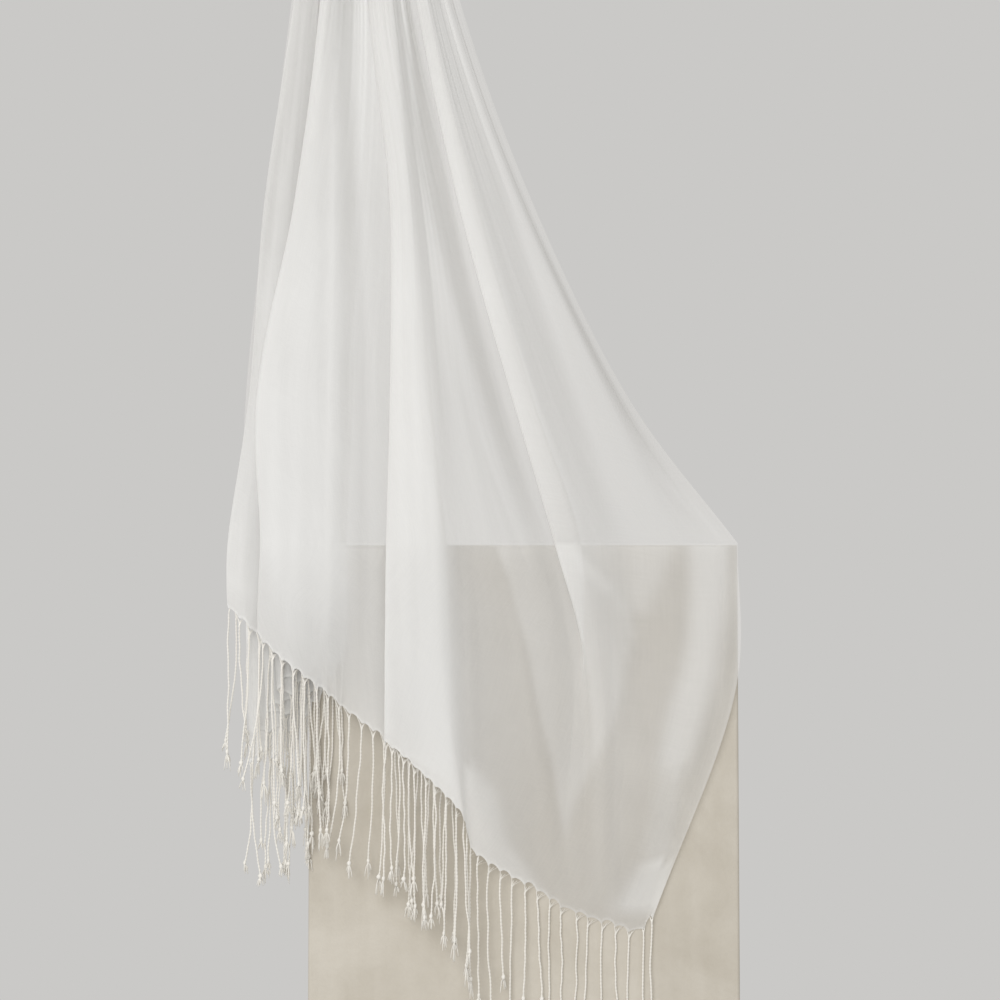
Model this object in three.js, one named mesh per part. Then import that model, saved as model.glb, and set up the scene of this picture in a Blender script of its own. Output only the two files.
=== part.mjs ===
// A rectangular shawl hijab of sheer woven cloth. It is gathered over a bent rod, falls in front
// in a fan of soft pleats, and drapes over the right front corner of a plain display plinth. Its
// other end hangs behind in a narrow gathered fall. Both ends have knotted tassels.
//
// Millimetres, +Z up. The origin is the middle of the plinth's base. The plinth's front faces -Y.

import * as THREE from 'three';

// Plinth: a plain box with softened upright corners.
const PLINTH = { width: 396, depth: 260, height: 800, cornerRadius: 3 };

// Rod: runs out from the wall, bends a quarter turn and carries the cloth on its cross stretch.
const ROD = { radius: 8, height: 727, forward: 45, bend: 22, side: -68, tip: -218 };
const ROD_FACETS = { around: 8, along: 24 };
const STOP = { radius: 14, thickness: 5 };
const PLATE = { radius: 38, thickness: 6 };

// Cloth: wall thickness, the gap at each seam and the clearance to what it lies on.
const CLOTH = { wall: 1, seam: 0.5, clear: 1, clearTop: 3, edgeReach: 8 };
const FRINGE_LENGTH = 118;
const SEAT_GAP = 0.3;

// How finely the cloth is faceted: columns between two folds, rows between two levels.
const FINE = { acrossFront: 3, acrossRear: 2, turnRows: 6 };

// The gathered cloth on the rod: its left and right side, and its height over the rod's skin
// on the folds that lie on the rod (in) and on the folds that stand off it (out).
const GATHER = { left: -198, right: -112, in: 1, out: 15 };

const FRONT_FACE = -PLINTH.depth / 2;
const WALL_PLANE = PLINTH.depth / 2;
const ROD_Y = FRONT_FACE + ROD.forward;
const ROD_Z = PLINTH.height + ROD.height;
const UP = new THREE.Vector3(0, 0, 1);
const DOWN = new THREE.Vector3(0, 0, -1);

// Levels above the base where every fold of the front fall has a place.
const LEVELS = { high: 1305, upper: 1120, middle: 934, ledge: 802 };

// The folds of the front fall, from its left edge to its right selvedge. side says whether a fold
// lies on the rod or stands off it. x and y give its place at each level; then comes a point on
// its way down past the ledge (low), and the point where it meets the fringed hem (hem). A fold
// that rests bends at the ledge, where it goes over the plinth's front edge.
const FRONT_FOLDS = [
  { name: 'tucked selvedge', side: 'in', high: [-205, -104], upper: [-229, -114],
    middle: [-250, -130], ledge: [-262, -142], low: [-263, -143, 760], hem: [-263, -143, 738] },
  { name: 'left edge', side: 'out', high: [-217, -110], upper: [-240, -122],
    middle: [-260, -138], ledge: [-275, -150], low: [-276, -150, 768], hem: [-274, -150, 742] },
  { name: 'left groove', side: 'in', high: [-200, -104], upper: [-222, -122],
    middle: [-229, -142], ledge: [-239, -156], low: [-243, -155, 760], hem: [-246, -154, 715] },
  { name: 'broad ridge', side: 'out', high: [-184, -136], upper: [-194, -154],
    middle: [-203, -168], ledge: [-208, -176], low: [-209, -176, 742], hem: [-209, -174, 677] },
  { name: 'single band', side: 'in', high: [-160, -104], upper: [-152, -126],
    middle: [-149, -144], ledge: [-150, -153], low: [-151, -153, 725], hem: [-152, -153, 637] },
  { name: 'hidden fold, back', side: 'in', high: [-132, -104], upper: [-107, -125],
    middle: [-91, -141], ledge: [-82, -148], low: [-78, -148, 700], hem: [-74, -146, 583] },
  { name: 'hidden fold, front', side: 'in', high: [-129, -113], upper: [-106, -134],
    middle: [-92, -150], ledge: [-82, -156], low: [-79, -156, 700], hem: [-75, -154, 585] },
  { name: 'pleat edge, back', side: 'out', high: [-140, -129], upper: [-123, -147],
    middle: [-121, -162], ledge: [-124, -167], low: [-126, -166, 715], hem: [-127, -163, 616] },
  { name: 'pleat edge, front', side: 'out', high: [-142, -138], upper: [-123, -156],
    middle: [-123, -171], ledge: [-126, -176], low: [-128, -175, 715], hem: [-129, -172, 618] },
  { name: 'pleat, right side', side: 'out', high: [-124, -143], upper: [-100, -160],
    middle: [-85, -174], ledge: [-73, -178], low: [-67, -176, 695], hem: [-57, -172, 553] },
  { name: 'valley beside pleat', side: 'in', high: [-117, -114], upper: [-90, -127],
    middle: [-70, -139], ledge: [-59, -143], low: [-56, -141, 690], hem: [-48, -140, 527] },
  { name: 'dark valley', side: 'in', high: [-113, -100], upper: [-71, -106],
    middle: [-28, -116], ledge: [-21, -131], low: [-1, -131, 680], hem: [32, -131, 467],
    rests: true },
  { name: 'long ridge, left edge', side: 'out', high: [-103, -136], upper: [-57, -150],
    middle: [-10, -160], ledge: [28, -158], low: [60, -140, 665], hem: [70, -131, 452] },
  { name: 'long ridge, crest', side: 'out', high: [-91, -138], upper: [-41, -153],
    middle: [9, -163], ledge: [48, -160], low: [84, -141, 655], hem: [82, -131, 448] },
  { name: 'right valley', side: 'in', high: [-80, -103], upper: [-24, -112],
    middle: [40, -118], ledge: [78, -131], low: [106, -131, 645], hem: [92, -131, 446],
    rests: true },
  { name: 'right panel', side: 'out', high: [-68, -116], upper: [-7, -122],
    middle: [72, -124], ledge: [136, -136], low: [146, -134, 652], hem: [99, -131, 444.5],
    rests: true },
  { name: 'corner line', side: 'in', high: [-62, -106], upper: [5, -106],
    middle: [93, -104], ledge: [184, -134], low: [180, -134, 668], hem: [103, -131, 443.5],
    rests: true },
  { name: 'right selvedge', side: 'out', high: [-58, -100], upper: [9, -98],
    middle: [100, -96], ledge: [198, -131], low: [196, -131, 672], hem: [106, -131, 443],
    rests: true },
];
const ROWS_ABOVE_LEDGE = [4, 3, 4, 4];
const ROWS_BELOW_LEDGE = [4, 5];

// The rear fall is a row of overlapped pleats. At each level: the middles of its first and last
// pleat, how far each pleat laps over the next, the place of its near side, and its depth. The
// last level is its fringed hem, whose height is given at the left and at the right.
const REAR_LEVELS = [
  { z: 1305, left: -210, right: -174, lap: 14, near: -91, depth: 16, rows: 4 },
  { z: 1120, left: -226, right: -178, lap: 22, near: -101, depth: 15, rows: 3 },
  { z: 934, left: -236, right: -184, lap: 28, near: -122, depth: 14, rows: 3 },
  { z: 802, left: -238, right: -189, lap: 30, near: -146, depth: 13, rows: 3 },
  { z: 720, left: -238, right: -189, lap: 30, near: -146, depth: 13, rows: 3 },
  { z: [604, 652], left: -238, right: -189, lap: 26, near: -146, depth: 13, rows: 3 },
];

// A place between two values.
function between(start, end, share) {
  return start + (end - start) * share;
}

// Points on one smooth curve through the given points, with a few steps between each two.
function smooth(points, steps) {
  const curve = new THREE.CatmullRomCurve3(points, false, 'centripetal');
  const spans = points.length - 1;
  const counts = Array.isArray(steps) ? steps : Array(spans).fill(steps);
  const out = [];
  for (let span = 0; span < spans; span += 1) {
    for (let step = 0; step < counts[span]; step += 1) {
      out.push(curve.getPoint((span + step / counts[span]) / spans));
    }
  }
  out.push(points[spans].clone());
  return out;
}

// Moves a point of the cloth's middle out of the plinth, to its clearance from the nearest face.
function clearOfPlinth(point) {
  const r = PLINTH.cornerRadius;
  const pastX = Math.abs(point.x) - (PLINTH.width / 2 - r);
  const pastY = -point.y - (PLINTH.depth / 2 - r);
  const corner = pastX > 0 && pastY > 0;
  const distance = (corner ? Math.hypot(pastX, pastY) : Math.max(pastX, pastY)) - r;
  const short = CLOTH.clear - distance;
  const below = PLINTH.height + CLOTH.clearTop - point.z;
  if (short <= 0 || below <= 0) {
    return point;
  }
  if (short > CLOTH.edgeReach) {
    return point.clone().setZ(PLINTH.height + CLOTH.clearTop);
  }
  const away = new THREE.Vector3(
    corner || pastX >= pastY ? Math.max(pastX, 1e-6) * Math.sign(point.x) : 0,
    corner || pastY > pastX ? -Math.max(pastY, 1e-6) : 0, 0);
  return point.clone().addScaledVector(away.normalize(), short);
}

// Moves a point of the cloth's middle off the rod's cross stretch, to the folds that lie on it.
function clearOfRod(point) {
  const reach = Math.hypot(point.y - ROD_Y, point.z - ROD_Z);
  const least = ROD.radius + GATHER.in;
  if (reach >= least) {
    return point;
  }
  const moved = point.clone();
  moved.y = ROD_Y + (point.y - ROD_Y) * least / reach;
  moved.z = ROD_Z + (point.z - ROD_Z) * least / reach;
  return moved;
}

// The point of fold number index on the rod's skin, turned by angle from the front to the back.
function onRod(index, angle) {
  const share = index / (FRONT_FOLDS.length - 1);
  const reach = ROD.radius + GATHER[FRONT_FOLDS[index].side];
  const x = between(GATHER.left, GATHER.right, share);
  return new THREE.Vector3(x, ROD_Y - reach * Math.cos(angle), ROD_Z + reach * Math.sin(angle));
}

// The rows of points of a sheet, from lines that run down its folds.
function rowsAcross(lines, acrossSteps) {
  return lines[0].map((_, row) => {
    const crossing = lines.map((line) => line[row]);
    return smooth(crossing, acrossSteps).map(clearOfPlinth).map(clearOfRod);
  });
}

function frontRows() {
  const lines = FRONT_FOLDS.map((fold, index) => {
    const stations = Object.entries(LEVELS).map(
      ([level, z]) => new THREE.Vector3(...fold[level], z));
    const above = [onRod(index, 0), ...stations];
    const below = [new THREE.Vector3(...fold.low), new THREE.Vector3(...fold.hem)];
    if (!fold.rests) {
      return smooth([...above, ...below], [...ROWS_ABOVE_LEDGE, ...ROWS_BELOW_LEDGE]);
    }
    const upper = smooth(above, ROWS_ABOVE_LEDGE);
    return [...upper, ...smooth([above.at(-1), ...below], ROWS_BELOW_LEDGE).slice(1)];
  });
  return rowsAcross(lines, FINE.acrossFront);
}

function rearRows() {
  const last = FRONT_FOLDS.length - 1;
  const lines = FRONT_FOLDS.map((fold, index) => {
    const share = index / last;
    const out = fold.side === 'out' ? 1 : 0;
    const stations = REAR_LEVELS.map((level) => {
      const x = between(level.left, level.right, share) + (out - 0.5) * level.lap;
      const across = (x - level.left) / (level.right - level.left);
      const y = level.near + out * level.depth;
      const z = Array.isArray(level.z) ? between(level.z[0], level.z[1], across) : level.z;
      return new THREE.Vector3(x, y, z);
    });
    return smooth([onRod(index, Math.PI), ...stations], REAR_LEVELS.map((level) => level.rows));
  });
  return rowsAcross(lines, FINE.acrossRear);
}

function turnRows() {
  const seamAngle = CLOTH.seam / (ROD.radius + GATHER.out);
  const rows = [];
  for (let row = 0; row <= FINE.turnRows; row += 1) {
    const angle = between(seamAngle, Math.PI - seamAngle, row / FINE.turnRows);
    const crossing = FRONT_FOLDS.map((_, index) => onRod(index, angle));
    rows.push(smooth(crossing, FINE.acrossFront).map(clearOfRod));
  }
  return rows.reverse();
}

// The fringe hangs plumb from the hem: the hem's own line, let down by the tassels' length.
function fringeRows(hem) {
  const drops = [CLOTH.seam, FRINGE_LENGTH / 2, FRINGE_LENGTH];
  return drops.map((drop) => hem.map((point) => point.clone().setZ(point.z - drop)));
}

// The rear fall's tassels as one plain flat curtain under the middle of its pleats.
function rearFringeRows() {
  const hem = REAR_LEVELS.at(-1);
  const half = hem.lap / 2;
  const slope = (hem.z[1] - hem.z[0]) / (hem.right - hem.left);
  const columns = 8;
  const line = Array.from({ length: columns + 1 }, (_, column) => {
    const x = between(hem.left - half, hem.right + half, column / columns);
    const z = hem.z[0] + (x - hem.left) * slope;
    return new THREE.Vector3(x, hem.near + hem.depth / 2, z);
  });
  return fringeRows(line);
}

// The sheet's direction out of its face at one point, from its neighbours on the grid.
// ends are the ways that it runs at its first and last row, where the next piece carries on.
function normalAt(rows, row, column, ends) {
  const last = rows.length - 1;
  const before = rows[row][Math.max(column - 1, 0)];
  const after = rows[row][Math.min(column + 1, rows[row].length - 1)];
  const across = new THREE.Vector3().subVectors(after, before).normalize();
  const along = new THREE.Vector3();
  if (row === 0 || row === last) {
    along.copy(ends[row === 0 ? 0 : 1]);
  } else {
    along.subVectors(rows[row + 1][column], rows[row - 1][column]).normalize();
  }
  return along.cross(across).normalize();
}

// A closed wall of even thickness around a grid of points: two skins and a rim.
function wall(rows, thickness, ends = [DOWN, DOWN]) {
  const height = rows.length;
  const width = rows[0].length;
  const positions = [];
  for (const sign of [1, -1]) {
    rows.forEach((line, row) => line.forEach((point, column) => {
      const moved = normalAt(rows, row, column, ends).multiplyScalar(sign * thickness / 2).add(point);
      positions.push(moved.x, moved.y, moved.z);
    }));
  }
  const front = (row, column) => row * width + column;
  const back = (row, column) => height * width + row * width + column;
  const triangles = [];
  const quad = (a, b, c, d) => triangles.push(a, b, c, a, c, d);
  for (let row = 0; row < height - 1; row += 1) {
    for (let column = 0; column < width - 1; column += 1) {
      quad(front(row, column), front(row + 1, column),
        front(row + 1, column + 1), front(row, column + 1));
      quad(back(row, column), back(row, column + 1),
        back(row + 1, column + 1), back(row + 1, column));
    }
  }
  for (let column = 0; column < width - 1; column += 1) {
    const end = height - 1;
    quad(front(0, column), front(0, column + 1), back(0, column + 1), back(0, column));
    quad(front(end, column + 1), front(end, column), back(end, column), back(end, column + 1));
  }
  for (let row = 0; row < height - 1; row += 1) {
    const end = width - 1;
    quad(front(row + 1, 0), front(row, 0), back(row, 0), back(row + 1, 0));
    quad(front(row, end), front(row + 1, end), back(row + 1, end), back(row, end));
  }
  const geometry = new THREE.BufferGeometry();
  geometry.setAttribute('position', new THREE.Float32BufferAttribute(positions, 3));
  geometry.setIndex(triangles);
  return geometry;
}

function plinthGeometry() {
  const { width, depth, height, cornerRadius: r } = PLINTH;
  const x = width / 2;
  const y = depth / 2;
  const plan = new THREE.Shape();
  plan.moveTo(-x + r, -y);
  plan.lineTo(x - r, -y);
  plan.absarc(x - r, -y + r, r, -Math.PI / 2, 0);
  plan.lineTo(x, y - r);
  plan.absarc(x - r, y - r, r, 0, Math.PI / 2);
  plan.lineTo(-x + r, y);
  plan.absarc(-x + r, y - r, r, Math.PI / 2, Math.PI);
  plan.lineTo(-x, -y + r);
  plan.absarc(-x + r, -y + r, r, Math.PI, Math.PI * 1.5);
  return new THREE.ExtrudeGeometry(plan, { depth: height, bevelEnabled: false, curveSegments: 3 });
}

// A round bar along the line from the wall to the rod's free end, with one bent corner.
function rodGeometry() {
  const back = WALL_PLANE - PLATE.thickness - SEAT_GAP;
  const at = (x, y) => new THREE.Vector3(x, y, ROD_Z);
  const path = new THREE.CurvePath();
  const bendStart = at(ROD.side, ROD_Y + ROD.bend);
  const bendEnd = at(ROD.side - ROD.bend, ROD_Y);
  path.add(new THREE.LineCurve3(at(ROD.side, back), bendStart));
  path.add(new THREE.QuadraticBezierCurve3(bendStart, at(ROD.side, ROD_Y), bendEnd));
  path.add(new THREE.LineCurve3(bendEnd, at(ROD.tip, ROD_Y)));
  const section = new THREE.Shape();
  section.absarc(0, 0, ROD.radius, 0, Math.PI * 2);
  return new THREE.ExtrudeGeometry(section, {
    steps: ROD_FACETS.along, curveSegments: ROD_FACETS.around, extrudePath: path, bevelEnabled: false,
  });
}

function disc(radius, thickness) {
  return new THREE.CylinderGeometry(radius, radius, thickness, 32);
}

function material(color, roughness, metalness = 0) {
  return new THREE.MeshStandardMaterial({ color, roughness, metalness });
}

function named(name, geometry, surface) {
  const mesh = new THREE.Mesh(geometry, surface);
  mesh.name = name;
  return mesh;
}

const hijab = new THREE.Group();
const cloth = () => material(0xe4e3e1, 0.9);
const tassels = () => material(0xdedbd4, 0.9);

hijab.add(named('plinth', plinthGeometry(), material(0xc7c0b4, 0.85)));

const front = frontRows();
hijab.add(named('front_fall', wall(front.map((line, row) => (row > 0 ? line
  : line.map((point) => point.clone().setZ(point.z - CLOTH.seam / 2)))), CLOTH.wall), cloth()));
hijab.add(named('front_fringe', wall(fringeRows(front.at(-1)), CLOTH.wall), tassels()));

const rear = rearRows();
const turned = rear.map((line) => [...line].reverse());
hijab.add(named('rear_fall', wall(turned.map((line, row) => (row > 0 ? line
  : line.map((point) => point.clone().setZ(point.z - CLOTH.seam / 2)))), CLOTH.wall), cloth()));
hijab.add(named('rear_fringe', wall(rearFringeRows(), CLOTH.wall), tassels()));
hijab.add(named('rod_turn', wall(turnRows(), CLOTH.wall, [UP, DOWN]), cloth()));

hijab.add(named('scarf_rod', rodGeometry(), material(0xd9d6d0, 0.4, 0.1)));

const stop = named('rod_stop', disc(STOP.radius, STOP.thickness), material(0xd9d6d0, 0.4, 0.1));
stop.rotation.z = Math.PI / 2;
stop.position.set(ROD.tip - SEAT_GAP - STOP.thickness / 2, ROD_Y, ROD_Z);
hijab.add(stop);

const plate = named('wall_plate', disc(PLATE.radius, PLATE.thickness), material(0xd9d6d0, 0.4, 0.1));
plate.position.set(ROD.side, WALL_PLANE - PLATE.thickness / 2, ROD_Z);
hijab.add(plate);

export default hijab;
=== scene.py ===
import math

import bmesh
import bpy
import numpy as np
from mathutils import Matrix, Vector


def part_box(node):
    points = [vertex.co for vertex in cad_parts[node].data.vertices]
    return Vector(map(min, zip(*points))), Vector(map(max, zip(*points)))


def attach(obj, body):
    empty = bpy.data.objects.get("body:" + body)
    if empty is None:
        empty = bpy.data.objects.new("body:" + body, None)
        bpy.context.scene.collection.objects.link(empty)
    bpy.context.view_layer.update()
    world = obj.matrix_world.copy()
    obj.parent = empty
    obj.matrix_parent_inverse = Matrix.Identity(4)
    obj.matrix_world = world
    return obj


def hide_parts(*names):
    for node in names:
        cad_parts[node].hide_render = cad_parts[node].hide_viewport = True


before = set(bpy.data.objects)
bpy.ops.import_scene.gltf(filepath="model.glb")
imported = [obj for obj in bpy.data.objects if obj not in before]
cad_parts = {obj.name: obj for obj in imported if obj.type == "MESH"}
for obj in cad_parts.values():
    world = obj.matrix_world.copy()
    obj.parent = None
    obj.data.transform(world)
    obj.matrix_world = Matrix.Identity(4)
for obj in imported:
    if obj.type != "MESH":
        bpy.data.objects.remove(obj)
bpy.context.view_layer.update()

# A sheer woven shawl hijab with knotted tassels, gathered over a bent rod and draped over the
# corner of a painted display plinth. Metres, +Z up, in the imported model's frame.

MM = 0.001
PLINTH_LOW, PLINTH_HIGH = (np.array(corner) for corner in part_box("plinth"))
ROD_LOW, ROD_HIGH = (np.array(corner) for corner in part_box("scarf_rod"))
FRONT_FACE = PLINTH_LOW[1]
PLINTH_TOP = PLINTH_HIGH[2]

# ---------------------------------------------------------------- camera

LENS = 85
SENSOR = 36
STAND_OFF = 2.186  # from the plinth's front face to the lens
TILT = math.radians(3.5)  # upwards
AIM_X = -0.022
AIM_ABOVE_TOP = 0.042


def make_camera():
    """A portrait lens in front of the plinth. Its axis meets the plane of the front face at the aim."""
    camera = bpy.data.objects.new("camera", bpy.data.cameras.new("camera"))
    camera.data.lens = LENS
    camera.data.sensor_width = SENSOR
    height = PLINTH_TOP + AIM_ABOVE_TOP - STAND_OFF * math.tan(TILT)
    camera.location = (AIM_X, FRONT_FACE - STAND_OFF, height)
    camera.rotation_euler = (math.pi / 2 + TILT, 0, 0)
    bpy.context.scene.collection.objects.link(camera)
    bpy.context.scene.camera = camera


make_camera()

# ---------------------------------------------------------------- the cloth's sizes, in millimetres

CLOTH_WIDTH = 700
COLUMN_SPACING = 2.1  # of the grid across the front fall
REAR_COARSER = 1.9  # how much wider its columns are on the rod and behind it
LEAST_COLUMNS = 4  # between two lines
CLEARANCE = 1.0  # from the cloth to the plinth's face
CLEARANCE_TOP = 3.0  # cloth lower than this over the plinth's top keeps clear of it
EDGE_REACH = 8.0  # a point deeper inside the plinth than this is lifted onto its top
CORNER_RADIUS = 3.0
ROD_RADIUS = 8.0

# The gathered cloth on the rod: its left and right side, and its height over the rod's skin on
# folds that lie on the rod (in) and on folds that stand off it (out).
GATHER_LEFT = -198
GATHER_RIGHT = -112
GATHER_HEIGHT = {"in": 1, "out": 15}

# Heights of the levels at which every fold of the front fall has a place.
LEVELS = (1305, 1120, 934, 802)

# The folds of the front fall from its left edge to its right selvedge. Each has its side on the
# rod; x and y at each level; a point on its way down (low); and its place on the fringed hem.
FOLDS = [
    ("tucked selvedge", "in", (-209, -104), (-236, -114), (-234, -134), (-248, -146),
     (-250, -146, 752), (-252, -146, 728)),
    ("left edge", "out", (-219, -112), (-243, -125), (-255, -141), (-272, -151),
     (-273, -150, 768), (-272, -150, 742)),
    ("left groove", "in", (-201, -110), (-222, -128), (-229, -147), (-246, -156),
     (-248, -153, 758), (-252, -152, 722)),
    ("fold behind the broad band, back", "in", (-183, -106), (-178, -124), (-177, -140), (-177, -150),
     (-183, -150, 706), (-199, -147, 675)),
    ("fold behind the broad band, front", "in", (-183, -113), (-178, -130), (-177, -145), (-177, -155),
     (-183, -154, 706), (-199, -151, 676)),
    ("broad band edge, back", "out", (-191, -119), (-212, -136), (-244, -150), (-239, -158),
     (-241, -157, 754), (-242, -155, 712)),
    ("broad band edge, front", "out", (-192, -125), (-213, -142), (-246, -156), (-241, -163),
     (-243, -161, 755), (-244, -159, 714)),
    ("broad ridge", "out", (-186, -130), (-198, -147), (-205, -162), (-209, -168),
     (-215, -166, 744), (-216, -164, 688)),
    ("broad ridge, right side", "out", (-177, -125), (-177, -142), (-179, -157), (-180, -164),
     (-180, -160, 716), (-180, -157, 660)),
    ("single band", "in", (-158, -104), (-151, -127), (-149, -144), (-150, -153),
     (-151, -152, 725), (-152, -149, 637)),
    ("hidden fold, back", "in", (-127, -99), (-103, -117), (-87, -136), (-73, -147),
     (-69, -148, 700), (-65, -145, 574)),
    ("hidden fold, front", "in", (-127, -116), (-103, -134), (-87, -149), (-73, -155),
     (-69, -154, 700), (-66, -151, 576)),
    ("pleat edge, back", "out", (-143, -129), (-123, -147), (-121.5, -159), (-124.5, -160.5),
     (-125, -157, 715), (-125.5, -153.5, 616)),
    ("pleat edge, front", "out", (-145, -138), (-124, -154), (-123, -163), (-126, -163),
     (-127, -159, 715), (-127.5, -155.5, 618)),
    ("pleat, right side", "out", (-124, -143), (-107, -160), (-93, -169), (-84, -168),
     (-77, -163, 695), (-58, -157, 553)),
    ("valley beside pleat", "in", (-116, -124), (-94, -141), (-72, -153), (-61, -155),
     (-54, -151, 690), (-46, -145, 517)),
    ("shoulder", "in", (-111, -119), (-87, -134), (-41, -144), (0, -146),
     (32, -136, 686), (10, -133, 481)),
    ("dark valley", "in", (-105, -108), (-64, -110), (-16, -122), (25, -137),
     (48, -131, 678), (34, -131, 466)),
    ("pocket behind the long ridge", "in", (-90, -114), (-42, -126), (9, -139), (52, -144),
     (54, -132, 676), (45, -131, 462)),
    ("long ridge, edge, back", "out", (-98, -127), (-59.5, -143), (-9, -153), (29.5, -152),
     (58, -134, 675), (54, -131, 458)),
    ("long ridge, edge, front", "out", (-99, -135), (-61, -152), (-10.5, -162), (28, -161),
     (62, -136, 674), (63, -131, 454.5)),
    ("long ridge, crest", "out", (-90, -137), (-47, -154), (6, -163), (46, -162),
     (72, -138, 667), (72, -131, 451)),
    ("long ridge, right side", "out", (-82, -125), (-31, -137), (25, -146), (68, -149),
     (84, -134, 660), (80, -131, 449)),
    ("right valley", "in", (-72, -111), (-12, -119), (51, -127), (94, -138),
     (106, -131, 648), (91, -131, 446)),
    ("right panel", "out", (-68, -112), (-3, -119), (80, -132), (140, -142),
     (146, -134, 652), (95, -131, 444)),
    ("corner line", "in", (-62, -106), (5, -108), (95, -112), (184, -134),
     (181, -134, 668), (107, -132, 445)),
    ("right selvedge", "out", (-56, -104), (11, -105), (102, -108), (198, -131),
     (196, -136, 672), (118, -134, 458)),
]
# How close the threads lie along each fold, as against flat cloth: at the four levels, low down and at the
# hem. Fine gathers too small to model draw them closer, and in part these numbers are painted light: they
# are raised where the cloth lies in shade, so that it turns whiter and more solid there. Below 1 the cloth
# lies open.
CLOSER_WITH_PAINTED_LIGHT_ELSEWHERE = (1.8, 1.3, 1.0, 1.0, 1.0, 1.0, 1.0)  # with the rod before the first level
CLOSER_WITH_PAINTED_LIGHT = {
    "tucked selvedge": (1.3, 1.0, 1.2, 1.5, 1.5, 1.3),
    "left edge": (1.4, 1.3, 1.7, 2.0, 1.9, 1.5),
    "left groove": (1.4, 1.4, 2.0, 1.8, 1.9, 1.5),
    "broad band edge, back": (1.5, 1.5, 2.0, 1.9, 1.6, 1.4),
    "broad band edge, front": (1.5, 1.5, 2.0, 1.9, 1.6, 1.4),
    "broad ridge": (1.6, 1.8, 2.6, 3.3, 2.4, 1.9),
    "broad ridge, right side": (2.0, 2.1, 2.8, 3.1, 2.1, 1.6),
    "single band": (2.6, 1.5, 1.4, 1.3, 1.3, 1.4),
    "hidden fold, back": (1.0, 1.0, 1.2, 1.5, 1.8, 2.1),
    "hidden fold, front": (1.2, 1.4, 1.7, 1.9, 2.1, 2.2),
    "pleat edge, back": (1.2, 1.4, 1.6, 1.6, 1.6, 1.6),
    "pleat edge, front": (1.2, 1.4, 1.7, 1.8, 1.7, 1.6),
    "pleat, right side": (1.6, 1.9, 2.5, 2.9, 3.0, 2.8),
    "valley beside pleat": (2.5, 1.9, 1.1, 1.35, 1.7, 1.5),
    "shoulder": (2.0, 1.6, 1.2, 1.1, 1.0, 1.0),
    "dark valley": (1.2, 1.15, 1.15, 1.1, 1.1, 1.0),
    "pocket behind the long ridge": (1.1, 1.1, 1.0, 1.2, 1.1, 1.0),
    "long ridge, edge, back": (1.4, 1.4, 1.5, 1.3, 1.0, 1.0),
    "long ridge, edge, front": (1.5, 1.7, 1.9, 1.6, 1.3, 1.0),
    "long ridge, crest": (1.5, 1.6, 1.8, 1.6, 1.3, 1.0),
    "long ridge, right side": (2.0, 1.3, 1.15, 1.15, 1.4, 1.1),
    "right valley": (1.5, 1.1, 1.0, 1.05, 1.25, 1.0),
    "right panel": (0.9, 0.8, 0.9, 1.1, 1.0, 1.0),
    "corner line": (0.8, 0.8, 0.9, 1.35, 1.0, 1.0),
    "right selvedge": (0.7, 0.7, 0.85, 1.2, 1.0, 1.0),
}
# Painted light: low down the rear fall is drawn closer, and so whiter, where it hangs in the shade of the
# front fall and its tassels.
REAR_CLOSER_WITH_PAINTED_LIGHT = ((760, 1.9), (1000, 1.0))  # heights on the rear fall, and how close there
# Folds that bend at the ledge, where they go over the plinth's front edge.
RESTING = ("shoulder", "dark valley", "right valley", "right panel", "corner line", "right selvedge")

# Shares of each span of the front fall at which a row of points lies, from the rod to the hem.
# A power crowds the rows towards the plinth's edge or the hem.
EVEN = {n: np.arange(n) / n for n in (8, 10, 12, 13, 14, 16, 26)}
FRONT_ROWS = [
    EVEN[16],
    EVEN[12],
    EVEN[13],
    1 - (1 - EVEN[14]) ** 1.5,
    EVEN[12] ** 1.4,
    1 - (1 - EVEN[26]) ** 1.8,
]
TURN_ROWS = 14

# The rear fall is a row of overlapped pleats. At each level: height, the middles of its first and
# last pleat, how far each pleat laps over the next, the place of its near side, and its depth.
REAR_LEVELS = [
    (1305, -210, -174, 26, -91, 16),
    (1120, -226, -178, 36, -101, 15),
    (934, -236, -184, 47, -122, 14),
    (802, -235, -188, 48, -146, 13),
    (720, -231, -187, 48, -146, 13),
]
REAR_HEM = (-230, -187, 42, -146, 13)
REAR_HEM_HEIGHTS = (600, 692)  # at its left and right selvedge
REAR_HEM_RISE = 0.7  # below 1 the hem climbs fastest at its left
REAR_ROWS = [EVEN[14], EVEN[10], EVEN[10], EVEN[8], EVEN[8], 1 - (1 - EVEN[16]) ** 1.8]


def curve_through(points, shares):
    """Points on one smooth curve through points[0], points[1] and so on, at shares of each span.

    Each span is a cubic. The slope at each end of it blends the directions to the points on both
    sides, weighted by the square roots of their distances, so that close folds stay tight.
    """
    points = np.asarray(points, float)
    led = np.concatenate([2 * points[:1] - points[1:2], points, 2 * points[-1:] - points[-2:-1]])
    gap = np.sqrt(np.linalg.norm(np.diff(led, axis=0), axis=-1, keepdims=True)).clip(1e-3)
    pieces = []
    for span, share in enumerate(shares):
        a, b, c, d = led[span:span + 4]
        before, here, after = gap[span:span + 3]
        start = ((b - a) / before - (c - a) / (before + here) + (c - b) / here) * here
        end = ((c - b) / here - (d - b) / (here + after) + (d - c) / after) * here
        t = np.reshape(share, (-1,) + (1,) * b.ndim)
        square = 3 * (c - b) - 2 * start - end
        cube = 2 * (b - c) + start + end
        pieces.append(b + start * t + square * t ** 2 + cube * t ** 3)
    pieces.append(points[-1:])
    return np.concatenate(pieces)


def fold_lines():
    """The name of every fold's line, whether it stands out from the rod, and its stations."""
    names, sides, stations = [], [], []
    for name, side, *places in FOLDS:
        levels = [(x, y, z) for (x, y), z in zip(places[:4], LEVELS)]
        names.append(name)
        sides.append(side)
        stations.append([*levels, *places[4:]])
    return names, np.array([side == "out" for side in sides]), np.array(stations, float)


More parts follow.
